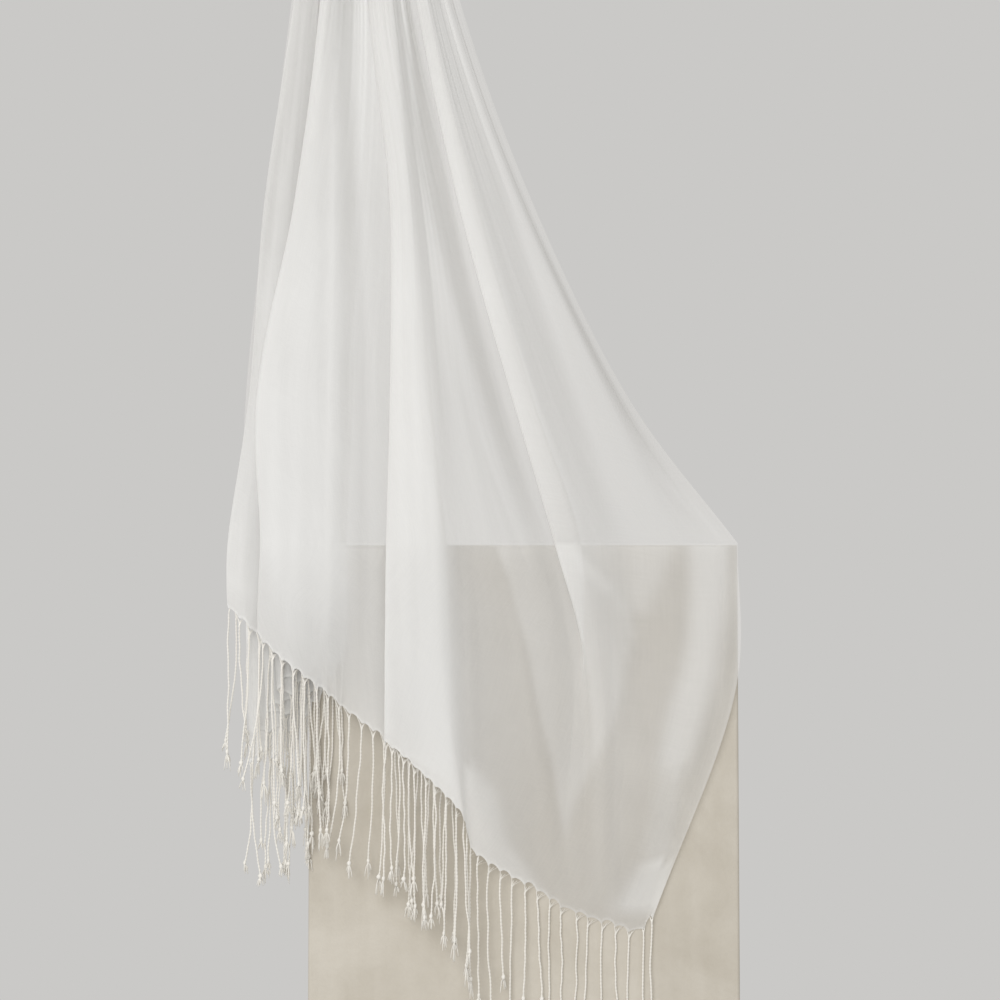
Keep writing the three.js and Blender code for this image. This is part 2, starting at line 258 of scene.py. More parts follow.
NAMES, STANDS_OUT, STATIONS = fold_lines()
LINES = len(NAMES)
ROD_Y = (ROD_LOW[1] + ROD_RADIUS * MM) / MM
ROD_Z = (ROD_LOW[2] + ROD_HIGH[2]) / 2 / MM


def closeness_with_painted_light(counts):
    """How much closer the threads lie at each row and column of the front fall, from hem to rod, with
    painted light in it where the numbers are raised to whiten cloth in shade.
    """
    values = np.tile(CLOSER_WITH_PAINTED_LIGHT_ELSEWHERE, (LINES, 1))
    for number, name in enumerate(NAMES):
        values[number, 1:] = CLOSER_WITH_PAINTED_LIGHT.get(name, CLOSER_WITH_PAINTED_LIGHT_ELSEWHERE[1:])
    rows = np.concatenate([span + np.asarray(part) for span, part in enumerate(FRONT_ROWS)]
                          + [[len(FRONT_ROWS)]])
    down = np.array([np.interp(rows, np.arange(values.shape[1]), line) for line in values])
    columns = np.concatenate([span + np.arange(count) / count for span, count in enumerate(counts)]
                             + [[LINES - 1]])
    return np.array([np.interp(columns, np.arange(LINES), row) for row in down.T])[::-1]


def on_rod(angle):
    """Where every line lies on the rod, at an angle from the rod's front over its top."""
    x = np.linspace(GATHER_LEFT, GATHER_RIGHT, LINES)
    reach = ROD_RADIUS + np.where(STANDS_OUT, GATHER_HEIGHT["out"], GATHER_HEIGHT["in"])
    return np.stack([x, ROD_Y - reach * np.cos(angle), ROD_Z + reach * np.sin(angle)], axis=-1)


def clear_of_plinth(p):
    """Moves points out of the plinth, to the clearance from the nearest face or rounded corner.

    A point that is too deep inside goes onto its top instead.
    """
    half_width = PLINTH_HIGH[0] / MM - CORNER_RADIUS
    half_depth = PLINTH_HIGH[1] / MM - CORNER_RADIUS
    past_x = np.abs(p[..., 0]) - half_width
    past_y = -p[..., 1] - half_depth
    corner = (past_x > 0) & (past_y > 0)
    distance = np.where(corner, np.hypot(past_x, past_y), np.maximum(past_x, past_y)) - CORNER_RADIUS
    short = CLEARANCE - distance
    below = p[..., 2] < PLINTH_TOP / MM + CLEARANCE_TOP
    inside = (short > 0) & below
    away = np.stack([
        np.where(corner | (past_x >= past_y), past_x.clip(1e-6) * np.sign(p[..., 0]), 0),
        np.where(corner | (past_y > past_x), -past_y.clip(1e-6), 0),
        np.zeros_like(past_x)], axis=-1)
    away /= np.linalg.norm(away, axis=-1, keepdims=True).clip(1e-9)
    out = np.where((inside & (short <= EDGE_REACH))[..., None], p + away * short[..., None], p)
    out[..., 2] = np.where(inside & (short > EDGE_REACH), PLINTH_TOP / MM + CLEARANCE_TOP, out[..., 2])
    return out


def clear_of_rod(p):
    """Moves points off the rod's cross stretch, straight away from its axis."""
    off_y, off_z = p[..., 1] - ROD_Y, p[..., 2] - ROD_Z
    reach = np.hypot(off_y, off_z).clip(1e-6)
    grow = np.maximum((ROD_RADIUS + GATHER_HEIGHT["in"]) / reach, 1)
    return np.stack([p[..., 0], ROD_Y + off_y * grow, ROD_Z + off_z * grow], axis=-1)


def front_lines():
    """The lines of the front fall from the rod to the hem, as rows of points."""
    stations = np.concatenate([on_rod(0.0)[None], STATIONS.transpose(1, 0, 2)])
    whole = curve_through(stations, FRONT_ROWS)
    ledge = len(LEVELS)
    bent = np.concatenate([
        curve_through(stations[:ledge + 1], FRONT_ROWS[:ledge])[:-1],
        curve_through(stations[ledge:], FRONT_ROWS[ledge:])])
    rests = np.array([name in RESTING for name in NAMES])
    return np.where(rests[None, :, None], bent, whole)


def rear_lines():
    """The lines of the rear fall from the rod to its hem: pleats that lap over each other."""
    share = np.linspace(0, 1, LINES)
    side = np.where(STANDS_OUT, 1.0, 0.0)
    rows = [on_rod(math.pi)]
    for z, left, right, lap, near, depth in REAR_LEVELS:
        x = left + (right - left) * share + (side - 0.5) * lap
        rows.append(np.stack([x, near + side * depth, np.full(LINES, float(z))], axis=-1))
    left, right, lap, near, depth = REAR_HEM
    low, high = REAR_HEM_HEIGHTS
    x = left + (right - left) * share + (side - 0.5) * lap
    rows.append(np.stack([x, near + side * depth, low + (high - low) * share ** REAR_HEM_RISE],
                         axis=-1))
    return curve_through(np.array(rows), REAR_ROWS)


def turn_lines():
    """The lines of the stretch over the rod, from its front to its back."""
    angles = np.linspace(0, math.pi, TURN_ROWS + 1)[1:-1]
    return np.array([on_rod(angle) for angle in angles])


# Creases pressed into the cloth by its own weight. Each is the places (x, z) that it runs through,
# how far it stands outwards from its fall (a trough is below zero), and its half width.
FRONT_CREASES = [
    ([(-207, 1330), (-243, 1027), (-258, 842), (-265, 760)], -3.0, 6),
    ([(-180, 1400), (-183, 1000), (-181, 640)], -1.1, 7),
    ([(-161, 1260), (-146, 976), (-143, 700)], -1.3, 7),
    ([(-135, 1300), (-113, 1020), (-106, 786), (-104, 600)], 1.6, 7),
    ([(-115, 1220), (-89, 934), (-81, 740)], -1.5, 6),
    ([(-78, 1010), (-22, 770)], 1.3, 6),
    ([(-52, 930), (6, 770)], -1.2, 5),
    ([(-96, 1300), (-50, 1040)], -2.4, 6),
    ([(-66, 1290), (33, 999), (74, 880)], -2.2, 12),
    ([(-44, 1190), (89, 880)], 2.0, 12),
    ([(22, 930), (154, 800)], 1.6, 9),
    ([(107, 880), (178, 806)], -1.4, 7),
    ([(-230, 1090), (-222, 800), (-226, 690)], 1.6, 8),
    ([(-196, 960), (-190, 640)], -1.4, 9),
    ([(-18, 800), (28, 520)], 2.2, 7),
    ([(-52, 790), (-44, 560)], 1.6, 6),
    ([(150, 800), (176, 730), (148, 560)], 4.0, 15),
    ([(190, 760), (183, 640)], 2.0, 6),
    ([(-54, 610), (-18, 490)], 2.0, 8),
    ([(60, 620), (84, 450)], 1.6, 9),
    ([(8, 560), (44, 462)], 1.2, 8),
]
REAR_CREASES = [
    ([(-214, 1400), (-232, 1050)], -2.2, 6),
    ([(-190, 1330), (-206, 900), (-204, 700)], 1.8, 7),
    ([(-176, 1180), (-186, 820)], -1.8, 6),
    ([(-228, 1000), (-241, 640)], 2.0, 6),
    ([(-216, 880), (-214, 620)], -1.6, 5),
    ([(-182, 800), (-180, 660)], 1.4, 5),
]
CREASE_SWELL = 0.6  # below 1 a crease is nearly as deep towards its ends as in its middle
# Where the cloth on the plinth laps over itself in flat folds, too thin to model. Some laps are painted
# light as well: they whiten stretches that lie in the shade of the pleat and the broad ridge. Each is how
# many layers more, how soft its left and right limits are, and where those limits are at each height.
LAPS_WITH_PAINTED_LIGHT = [
    (0.6, 8, 8, [(798, -172, -128), (712, -166, -126), (630, -160, -124)]),
    (0.55, 3, 5, [(798, -26, 45), (768, -13, 74), (749, -9, 92), (731, -4, 101), (712, 1, 103),
                 (694, 6, 94), (666, 10, 90), (638, 16, 83), (601, 26, 66), (564, 31, 47), (540, 36, 40)]),
    (0.6, 9, 9, [(798, 50, 140), (770, 60, 128), (745, 92, 116)]),
    (0.95, 7, 8, [(798, 152, 189), (760, 154, 186), (712, 150, 181), (684, 144, 179), (640, 131, 167),
                 (600, 124, 151)]),
    (0.5, 7, 6, [(590, 123, 147), (550, 118, 138), (515, 110, 135)]),
    (0.95, 8, 6, [(508, 108, 134), (470, 86, 130)]),
    (0.65, 2.5, 7, [(598, -54, -48), (573, -54, -27), (550, -53, -22), (527, -50, -16), (505, -40, 2),
                   (470, -10, 24)]),
]
LAP_FADE = (2.4, 14)  # how far a lap fades out above its first height and below its last
RIPPLE_LENGTHS = (11.3, 7.1, 17.9)  # of cloth, millimetres
RIPPLE_DEPTHS = ((600, 0.10), (1120, 0.18), (1305, 0.5), (1500, 1.6), (1560, 1.4))  # height, depth


def pressed(p, creases, way):
    """Moves points along Y by the creases: each is a soft bell across, that swells and fades along."""
    x, z = p[..., 0], p[..., 2]
    moved = np.zeros_like(x)
    for path, depth, half_width in creases:
        xs, zs = np.array(path[::-1], float).T
        share = (z - zs[0]) / (zs[-1] - zs[0])
        fade = np.sin(np.pi * share.clip(0, 1)) ** CREASE_SWELL
        moved += depth * fade * np.exp(-((x - np.interp(z, zs, xs)) / half_width) ** 2)
    out = p.copy()
    out[..., 1] += way * moved
    return out


def lapped_with_painted_light(p):
    """How many layers more the laps add at points, painted light in part: each is a plateau between two
    soft limits.
    """
    x, z = p[..., 0], p[..., 2]
    more = np.zeros_like(x)
    for layers, soft_left, soft_right, limits in LAPS_WITH_PAINTED_LIGHT:
        zs, left, right = np.array(limits[::-1], float).T
        inside = 1 / (1 + np.exp(-(x - np.interp(z, zs, left)) / soft_left * 2))
        inside /= 1 + np.exp((x - np.interp(z, zs, right)) / soft_right * 2)
        starts = ((zs[-1] - z) / LAP_FADE[0] + 1).clip(0, 1)
        ends = ((z - zs[0]) / LAP_FADE[1] + 1).clip(0, 1)
        more += layers * inside * (ends * starts)
    return more


def cloth_normals(p):
    """Unit normals of a grid, from the cross product of its along and across directions."""
    along = np.gradient(p, axis=0)
    across = np.gradient(p, axis=1)
    normal = np.cross(across, along)
    return normal / np.linalg.norm(normal, axis=-1, keepdims=True).clip(1e-9)


def run_length(p, axis):
    """The length of cloth from the grid's first row or column, along the grid."""
    step = np.linalg.norm(np.diff(p, axis=axis), axis=-1)
    start = np.zeros_like(np.take(step, [0], axis=axis))
    return np.concatenate([start, np.cumsum(step, axis=axis)], axis=axis)


def rippled(p):
    """Fine gathers: three sine waves along the cloth's width, deepest at the rod, along the normal."""
    width = run_length(p, 1)
    place = width / width[:, -1:] * CLOTH_WIDTH
    wave = sum(np.sin(2 * np.pi * place / length + turn)
               for turn, length in enumerate(RIPPLE_LENGTHS)) / len(RIPPLE_LENGTHS)
    heights, depths = np.array(RIPPLE_DEPTHS).T
    return p + cloth_normals(p) * (wave * np.interp(p[..., 2], heights, depths))[..., None]


def cloth_grid():
    """The whole cloth as rows of points, from the front hem over the rod to the rear hem.

    With it come the first rows on and behind the rod, and how close the threads lie in front, painted
    light included.
    """
    front, turn, rear = front_lines()[::-1], turn_lines(), rear_lines()
    parts = [len(front), len(front) + len(turn)]
    lines = np.concatenate([front, turn, rear])
    gaps = np.linalg.norm(np.diff(lines, axis=1), axis=-1)
    spacing = np.where(np.arange(len(lines)) < parts[0], COLUMN_SPACING, COLUMN_SPACING * REAR_COARSER)
    counts = np.ceil((gaps / spacing[:, None]).max(0)).astype(int).clip(LEAST_COLUMNS)
    shares = [np.arange(count) / count for count in counts]
    grid = curve_through(lines.transpose(1, 0, 2), shares).transpose(1, 0, 2)
    grid = rippled(grid)
    grid[:parts[0]] = pressed(grid[:parts[0]], FRONT_CREASES, -1)
    grid[parts[1]:] = pressed(grid[parts[1]:], REAR_CREASES, 1)
    return clear_of_rod(clear_of_plinth(grid)), parts, closeness_with_painted_light(counts)


# The tassels stand in a row along each hem, which arches up between them.
TASSEL_SPACING = 13
REAR_TASSEL_SPACING = 18
ROW_MARGIN = 2  # from a selvedge to the row of even places
END_MARGIN = 1.2  # from a selvedge to its own tassel
TASSEL_STRAY = 1.3  # either way from an even place
ARCH_HEIGHT = 5.4
ARCH_SPREAD = (0.55, 1.25)  # shares of that height
ARCH_REACH = 14  # how far up the cloth the arches are felt
PUCKER = 0.7


def hem_arches(grid, row, spacing, rng):
    """Arches one hem up between its tassels, and returns the tassels' places on it.

    Between two tassels the hem follows half an ellipse. Up the cloth the rise fades with the square
    of what is left of its reach. The cloth puckers towards the front at each tassel.
    """
    hem = run_length(grid[row][None], 1)[0]
    count = int(round(hem[-1] / spacing))
    places = np.linspace(ROW_MARGIN, hem[-1] - ROW_MARGIN, count)
    places += rng.uniform(-TASSEL_STRAY, TASSEL_STRAY, count)
    places[[0, -1]] = END_MARGIN, hem[-1] - END_MARGIN
    roots = np.stack([np.interp(places, hem, grid[row][:, axis]) for axis in range(3)], axis=-1)
    phase = np.interp(hem, places, np.arange(count))
    gap, share = np.divmod(phase, 1)
    height = ARCH_HEIGHT * rng.uniform(*ARCH_SPREAD, count)[gap.astype(int)]
    arch = height * np.sqrt((1 - (2 * share - 1) ** 2).clip(0))
    up = run_length(grid, 0) if row == 0 else run_length(grid[::-1], 0)[::-1]
    fade = (1 - up / ARCH_REACH).clip(0) ** 2
    grid[..., 2] += arch * fade
    grid[..., 1] -= PUCKER * np.cos(2 * np.pi * share) * fade
    return roots, places


def new_mesh(name, vertices, faces, metres=MM):
    """A mesh object of four-sided faces, all smooth, from arrays of points and point numbers."""
    mesh = bpy.data.meshes.new(name)
    mesh.vertices.add(len(vertices))
    mesh.vertices.foreach_set("co", (np.asarray(vertices, float) * metres).ravel())
    mesh.loops.add(faces.size)
    mesh.loops.foreach_set("vertex_index", faces.ravel())
    mesh.polygons.add(len(faces))
    mesh.polygons.foreach_set("loop_start", np.arange(len(faces)) * 4)
    mesh.polygons.foreach_set("use_smooth", np.ones(len(faces), bool))
    mesh.update(calc_edges=True)
    piece = bpy.data.objects.new(name, mesh)
    bpy.context.scene.collection.objects.link(piece)
    return piece


def closed(piece):
    """Merges the points that coincide at poles and turns the faces outwards."""
    made = bmesh.new()
    made.from_mesh(piece.data)
    bmesh.ops.remove_doubles(made, verts=made.verts, dist=1e-7)
    bmesh.ops.recalc_face_normals(made, faces=made.faces)
    made.to_mesh(piece.data)
    made.free()
    return piece


def grid_faces(rows, columns, ring=False):
    """Faces between the points of a grid. A ring also joins the last column to the first."""
    number = np.arange(rows * columns).reshape(rows, columns)
    if ring:
        number = np.concatenate([number, number[:, :1]], axis=1)
    corners = (number[:-1, :-1], number[:-1, 1:], number[1:, 1:], number[1:, :-1])
    return np.stack(corners, axis=-1).reshape(-1, 4)


def joined(shapes):
    """The points and faces of several shapes as those of one."""
    starts = np.cumsum([0] + [len(points) for points, _ in shapes])
    points = np.concatenate([points for points, _ in shapes])
    faces = np.concatenate([faces + start for (_, faces), start in zip(shapes, starts)])
    return points, faces


MOST_GATHERED = 1.1  # the most that a row's missing width counts for
SELVEDGE_DENSE = 0.15
SELVEDGE_WIDTH = 3.0
HEM_DENSE = 0.5
HEM_WIDTH = 2.5


def cloth_piece(grid, parts, closer):
    """The cloth's mesh, with its UV map in metres of thread and how much its threads cover.

    Cover starts from the cut width over the width that the row spans, within a limit, because what is
    missing lies in gathers too fine to model. It is multiplied by how close the threads lie, and laps add
    to it. So do the selvedges and hems, which are woven closer. Where those tables are raised to whiten
    cloth in shade, the cover carries painted light.
    """
    rows, columns = grid.shape[:2]
    cloth = new_mesh("scarf_cloth", grid.reshape(-1, 3), grid_faces(rows, columns)[:, ::-1])
    across, along = run_length(grid, 1), run_length(grid, 0)
    share = across / across[:, -1:]
    thread = share * CLOTH_WIDTH
    edge = np.minimum(thread, CLOTH_WIDTH - thread)
    end = np.minimum(along, along[-1:] - along)
    cover = (CLOTH_WIDTH / across[:, -1:]).clip(1, MOST_GATHERED) * np.ones_like(share)
    cover[:parts[0]] = cover[:parts[0]] * closer + lapped_with_painted_light(grid[:parts[0]])
    heights, closer_there = np.array(REAR_CLOSER_WITH_PAINTED_LIGHT).T
    cover[parts[1]:] *= np.interp(grid[parts[1]:, :, 2], heights, closer_there)
    cover += SELVEDGE_DENSE * np.exp(-((edge / SELVEDGE_WIDTH) ** 4))
    cover += HEM_DENSE * np.exp(-((end / HEM_WIDTH) ** 4))
    mesh = cloth.data
    mesh.attributes.new("thread_cover_with_painted_light", "FLOAT", "POINT").data.foreach_set("value", cover.ravel())
    corner = np.zeros(len(mesh.loops), np.int32)
    mesh.loops.foreach_get("vertex_index", corner)
    uv = np.stack([thread, along], axis=-1).reshape(-1, 2)[corner] * MM
    mesh.uv_layers.new(name="threads").data.foreach_set("uv", uv.ravel())
    return cloth


# A tassel: hem threads run together into a cord of two twisted plies, with a knot and loose ends.
TASSEL_LENGTH = 122
TASSEL_SPREAD = (0.86, 1.2)  # shares of that length
TASSEL_SWAY = (7, 4)  # how far a tip strays along X and Y
TASSEL_CALM = ((-200, 1), (-60, 0.45), (40, 0.2))  # x, and the share of the sway that is left there
REAR_CALM = 0.9
FAN_REACH = 5  # along the hem, either way from a root
FAN_THREADS = 6
FAN_POINTS = 4
FAN_RADII = (0.3, 0.5)
THREAD_SIDES = 4
PLY_RADIUS = 0.5
PLY_OFFSET = 0.46
PLY_PITCH = 6.5
CORD_STEP = 1.5
CORD_SIDES = 5
CORD_START = 4.5  # below the hem, where the threads have run together
CORD_WAVES = ((5, 1.5), (13, 0.6), (31, 0.3))  # turns down a cord in radians, and swing
WAVE_TURNS = (0.7, 1.3)  # shares of those turns
WAVE_SWINGS = (0.2, 1)  # shares of those swings
CORD_TO_FACE = 2.0  # from a cord's middle to the plinth's face
FACE_MARGIN = 3  # beside the plinth, where a cord still keeps in front of its face
CORD_SHARE = 0.86  # how many of a tassel's points its cord has
KNOT_SHARES = (0.86, 0.93)  # how far down a tassel its knot sits
KNOT_RADIUS = 1.6
KNOT_HEIGHT = 2.5
KNOT_SIZES = (0.7, 1.25)
KNOT_RINGS = 8
KNOT_SIDES = 9
KNOT_LOBES = 3
LOBE_DEPTH = 0.28  # share of the radius
LOBE_TWIST = 2.6  # for each radian from the knot's top
LOOSE_ENDS = 9
LOOSE_POINTS = 5
LOOSE_REACH = 3.6  # sideways
LOOSE_DROPS = (0.35, 1.15)  # shares of the way from the knot to the tassel's tip
LOOSE_RADII = (0.55, 0.32)
LOOSE_TO_FACE = 0.8
UNDER_KNOT = 0.6  # of the knot's height, where the loose ends come out


def tubes(paths, radius, sides):
    """Level rings round paths (tube, ring, xyz), closed to a point at both ends, and their faces."""
    angle = np.arange(sides) / sides * 2 * np.pi
    ring = np.stack([np.cos(angle), np.sin(angle), np.zeros(sides)], axis=-1)
    radius = np.broadcast_to(radius, paths.shape[:2])
    paths = np.concatenate([paths[:, :1], paths, paths[:, -1:]], axis=1)
    radius = np.pad(radius, ((0, 0), (1, 1)))
    points = paths[:, :, None] + radius[:, :, None, None] * ring
    faces = grid_faces(paths.shape[1], sides, ring=True)
    return joined([(tube.reshape(-1, 3), faces) for tube in points])


def tassel_middles(roots, lengths, sway, rng):
    """The middle line of each tassel, from its root down to its tip.

    It falls plumb from its root and drifts by its sway times the square of the share fallen, with
    three sine waves. In front of the plinth it keeps clear of the face.
    """
    count = len(roots)
    steps = int(lengths.max() / CORD_STEP)
    share = np.linspace(0, 1, steps)[None, :, None]
    drift = sway[:, None] * share ** 2
    for turns, swing in CORD_WAVES:
        start = rng.uniform(0, 2 * np.pi, (count, 1, 2))
        wave = np.sin(start + share * turns * rng.uniform(*WAVE_TURNS, (count, 1, 1))) - np.sin(start)
        drift = drift + wave * swing * rng.uniform(*WAVE_SWINGS, (count, 1, 1))
    middle = np.empty((count, steps, 3))
    middle[..., :2] = roots[:, None, :2] + drift
    middle[..., 2] = roots[:, None, 2] - CORD_START - share[..., 0] * (lengths[:, None] - CORD_START)
    on_face = (middle[..., 0] > PLINTH_LOW[0] / MM - FACE_MARGIN) & (middle[..., 2] < PLINTH_TOP / MM)
    limit = FRONT_FACE / MM - CORD_TO_FACE
    middle[..., 1] = np.where(on_face, np.minimum(middle[..., 1], limit), middle[..., 1])
    return middle


def cord_middles(middle, knot_row):
    """The stretch of each tassel's middle from its root to its knot, in even steps."""
    count, steps = middle.shape[:2]
    stretch = np.linspace(0, 1, int(CORD_SHARE * steps))[None] * knot_row[:, None]
    low = np.floor(stretch).astype(int)
    part = (stretch - low)[..., None]
    every = np.arange(count)[:, None]
    return middle[every, low] * (1 - part) + middle[every, np.minimum(low + 1, steps - 1)] * part


def plies_round(cord, rng):
    """Two plies that circle a cord's middle, opposite each other, once every pitch of its fall."""
    start = rng.uniform(0, 2 * np.pi, (len(cord), 1))
    turn = (cord[:, :1, 2] - cord[..., 2]) / PLY_PITCH * 2 * np.pi + start
    plies = []
    for ply in (0, 1):
        angle = turn + ply * np.pi
        off = np.stack([np.cos(angle), np.sin(angle), np.zeros_like(angle)], axis=-1)
        plies.append(cord + off * PLY_OFFSET)
    return np.concatenate(plies)


def hem_fans(roots, hem_left, hem_right, cord):
    """Threads that leave the hem on both sides of each root and bow together into its cord."""
    fan = np.linspace(-1, 1, FAN_THREADS)
    fall = np.linspace(0, 1, FAN_POINTS)[None, None, :, None]
    left, right = hem_left[:, None], hem_right[:, None]
    starts = roots[:, None] + np.where(fan[:, None] < 0, (left - roots[:, None]) * -fan[:, None],
                                       (right - roots[:, None]) * fan[:, None])
    ends = cord[:, None, 2]
    bow = fall * (2 - fall)
    threads = starts[:, :, None] + (ends[:, :, None] - starts[:, :, None]) * np.concatenate(
        [bow, bow, fall], axis=-1)
    return threads.reshape(-1, FAN_POINTS, 3)


def knot_balls(knots, rng):
    """A ball with turned lobes at each knot: its radius swells by a sine round it, twisted down it."""
    ring = np.linspace(0, np.pi, KNOT_RINGS)
    sides = np.arange(KNOT_SIDES) / KNOT_SIDES * 2 * np.pi
    lobes = 1 + LOBE_DEPTH * np.sin(KNOT_LOBES * sides[None] + LOBE_TWIST * ring[:, None])
    size = rng.uniform(*KNOT_SIZES, (len(knots), 1, 1))
    flat = (np.sin(ring)[:, None].round(6) * lobes)[None] * size * KNOT_RADIUS
    ball = np.stack([flat * np.cos(sides), flat * np.sin(sides),
                     np.broadcast_to(np.cos(ring)[None, :, None] * KNOT_HEIGHT, flat.shape)], axis=-1)
    faces = grid_faces(KNOT_RINGS, KNOT_SIDES, ring=True)
    return joined([(points.reshape(-1, 3), faces) for points in knots[:, None, None] + ball])


def loose_ends(knots, tips, rng):
    """Yarn ends that leave the knots and open out like a brush, with the square root of their fall."""
    spread = rng.uniform(-1, 1, (len(knots), LOOSE_ENDS, 1, 2)) * LOOSE_REACH
    drop = rng.uniform(*LOOSE_DROPS, (len(knots), LOOSE_ENDS, 1)) * (knots[:, 2] - tips)[:, None, None]
    fall = np.linspace(0, 1, LOOSE_POINTS)[None, None, :]
    ends = np.empty((len(knots), LOOSE_ENDS, LOOSE_POINTS, 3))
    ends[..., :2] = knots[:, None, None, :2] + spread * np.sqrt(fall)[..., None]
    ends[..., 2] = knots[:, None, None, 2] - KNOT_HEIGHT * UNDER_KNOT - drop * fall
    on_face = (ends[..., 0] > PLINTH_LOW[0] / MM) & (ends[..., 2] < PLINTH_TOP / MM)
    limit = FRONT_FACE / MM - LOOSE_TO_FACE
    ends[..., 1] = np.where(on_face, np.minimum(ends[..., 1], limit), ends[..., 1])
    return ends.reshape(-1, LOOSE_POINTS, 3)


def beside(hem_points, places, offset):
    """Points on a hem, at an offset along it from each tassel's place."""
    hem = run_length(hem_points[None], 1)[0]
    return np.stack([np.interp(places + offset, hem, hem_points[:, axis]) for axis in range(3)], axis=-1)


def tassel_piece(name, hem_points, roots, places, calm, rng):
    """All tassels of one hem as one mesh. Each tip's sway is multiplied by its tassel's calm."""
    count = len(roots)
    lengths = TASSEL_LENGTH * rng.uniform(*TASSEL_SPREAD, count)
    sway = rng.normal(0, 1, (count, 2)) * TASSEL_SWAY * calm[:, None]
    places = places * (run_length(hem_points[None], 1)[0, -1] / places.max())
    left, right = (beside(hem_points, places, offset) for offset in (-FAN_REACH, FAN_REACH))
    middle = tassel_middles(roots, lengths, sway, rng)
    knot_row = (rng.uniform(*KNOT_SHARES, count) * (middle.shape[1] - 1)).astype(int)
    knots = middle[np.arange(count), knot_row]
    cord = cord_middles(middle, knot_row)
    points, faces = joined([
        tubes(plies_round(cord, rng), PLY_RADIUS, CORD_SIDES),
        tubes(hem_fans(roots, left, right, cord), np.linspace(*FAN_RADII, FAN_POINTS), THREAD_SIDES),
        knot_balls(knots, rng),
        tubes(loose_ends(knots, middle[:, -1, 2], rng), np.linspace(*LOOSE_RADII, LOOSE_POINTS),
              THREAD_SIDES)])
    return closed(new_mesh(name, points, faces))


# ---------------------------------------------------------------- the rod and its fittings

ROD_SIDE = -68  # x of the run that comes from the wall
ROD_TIP = -218  # x of the free end
BEND_RADIUS = 22
BEND_RINGS = 25
RUN_RINGS = 12
ROUND_SIDES = 48


def rod_piece():
    """A round bar: a circle carried along a straight run, a quarter turn and the cross stretch.

    Its ends close through a rounded rim.
    """
    wall_end = ROD_HIGH[1] / MM
    turn = np.linspace(0, np.pi / 2, BEND_RINGS)
    straight = np.linspace(wall_end, ROD_Y + BEND_RADIUS, RUN_RINGS)[:-1]
    cross = np.linspace(ROD_SIDE - BEND_RADIUS, ROD_TIP, RUN_RINGS)[1:]
    x = np.concatenate([np.full(len(straight), float(ROD_SIDE)),
                        ROD_SIDE - BEND_RADIUS * (1 - np.cos(turn)), cross])
    y = np.concatenate([straight, ROD_Y + BEND_RADIUS * (1 - np.sin(turn)),
                        np.full(len(cross), float(ROD_Y))])
    middle = np.stack([x, y], axis=-1)
    rim = np.array([0.0, 0.35, 0.75, 1.0])  # millimetres from an end, and the share of the radius there
    fill = np.array([0.0, 0.8, 0.95, 1.0])
    way_in, way_out = middle[1] - middle[0], middle[-2] - middle[-1]
    way_in, way_out = (way / np.linalg.norm(way) for way in (way_in, way_out))
    middle = np.concatenate([middle[0] + rim[:3, None] * way_in, middle[:1] + way_in,
                             middle[1:-1], middle[-1:] + way_out,
                             middle[-1] + rim[2::-1, None] * way_out])
    radius = np.full(len(middle), ROD_RADIUS)
    radius[:4] = fill * ROD_RADIUS
    radius[-4:] = fill[::-1] * ROD_RADIUS
    ahead = np.gradient(middle, axis=0)
    ahead /= np.linalg.norm(ahead, axis=1, keepdims=True)
    angle = np.arange(ROUND_SIDES) / ROUND_SIDES * 2 * np.pi
    out = np.stack([-ahead[:, 1], ahead[:, 0]], axis=-1)[:, None] * np.cos(angle)[None, :, None]
    flat = middle[:, None] + out * radius[:, None, None]
    height = ROD_Z + np.sin(angle)[None] * radius[:, None]
    points = np.concatenate([flat, height[..., None]], axis=-1)
    return closed(new_mesh("rod_bar", points.reshape(-1, 3),
                           grid_faces(len(middle), ROUND_SIDES, ring=True)))


def turned(name, profile, centres, axis):
    """A profile (radius, distance along the axis) turned about the axis through each centre."""
    radius, along = np.array(profile, float).T
    angle = np.arange(ROUND_SIDES) / ROUND_SIDES * 2 * np.pi
    shapes = []
    for centre in centres:
        grid = np.zeros((len(radius), ROUND_SIDES, 3))
        sides = [other for other in range(3) if other != axis]
        grid[..., sides[0]] = radius[:, None] * np.cos(angle)
        grid[..., sides[1]] = radius[:, None] * np.sin(angle)
        grid[..., axis] = along[:, None]
        shapes.append(((grid + np.array(centre)).reshape(-1, 3),
                       grid_faces(len(radius), ROUND_SIDES, ring=True)))
    return closed(new_mesh(name, *joined(shapes)))


STOP_HALF = 2.5  # of its thickness
STOP_GAP = 0.3  # between the rod's tip and the disc
STOP_PROFILE = [(0, -STOP_HALF), (12.4, -STOP_HALF), (13.4, -2.2), (13.9, -1.6), (14, -1),
                (14, 1), (13.9, 1.6), (13.4, 2.2), (12.4, STOP_HALF), (0, STOP_HALF)]
# The plate lies on the wall (0) and rises to a collar round the bar.
PLATE_PROFILE = [(0, 0), (37.4, 0), (38, -0.6), (38, -4.4), (37.6, -5.3), (36.8, -5.8), (35.6, -6),
                 (14, -6), (12.6, -6.3), (11.8, -7.2), (11.4, -9), (11.4, -12.2), (11, -13),
                 (10.2, -13.3), (8.3, -13.3), (8.3, -6.4), (0, -6.4)]
SCREW_PROFILE = [(0, -5.9), (4.4, -5.9), (4.3, -6.6), (3.8, -7.3), (2.9, -7.8), (1.6, -8.05), (0, -8.1)]
SCREW_REACH = 25  # above and below the bar


# ---------------------------------------------------------------- finishes


def linear(code):
    """An sRGB hex colour as linear light: each channel by the sRGB curve."""
    channels = np.array([int(code[i:i + 2], 16) for i in (0, 2, 4)]) / 255
    light = np.where(channels <= 0.04045, channels / 12.92, ((channels + 0.055) / 1.055) ** 2.4)
    return (*light, 1.0)


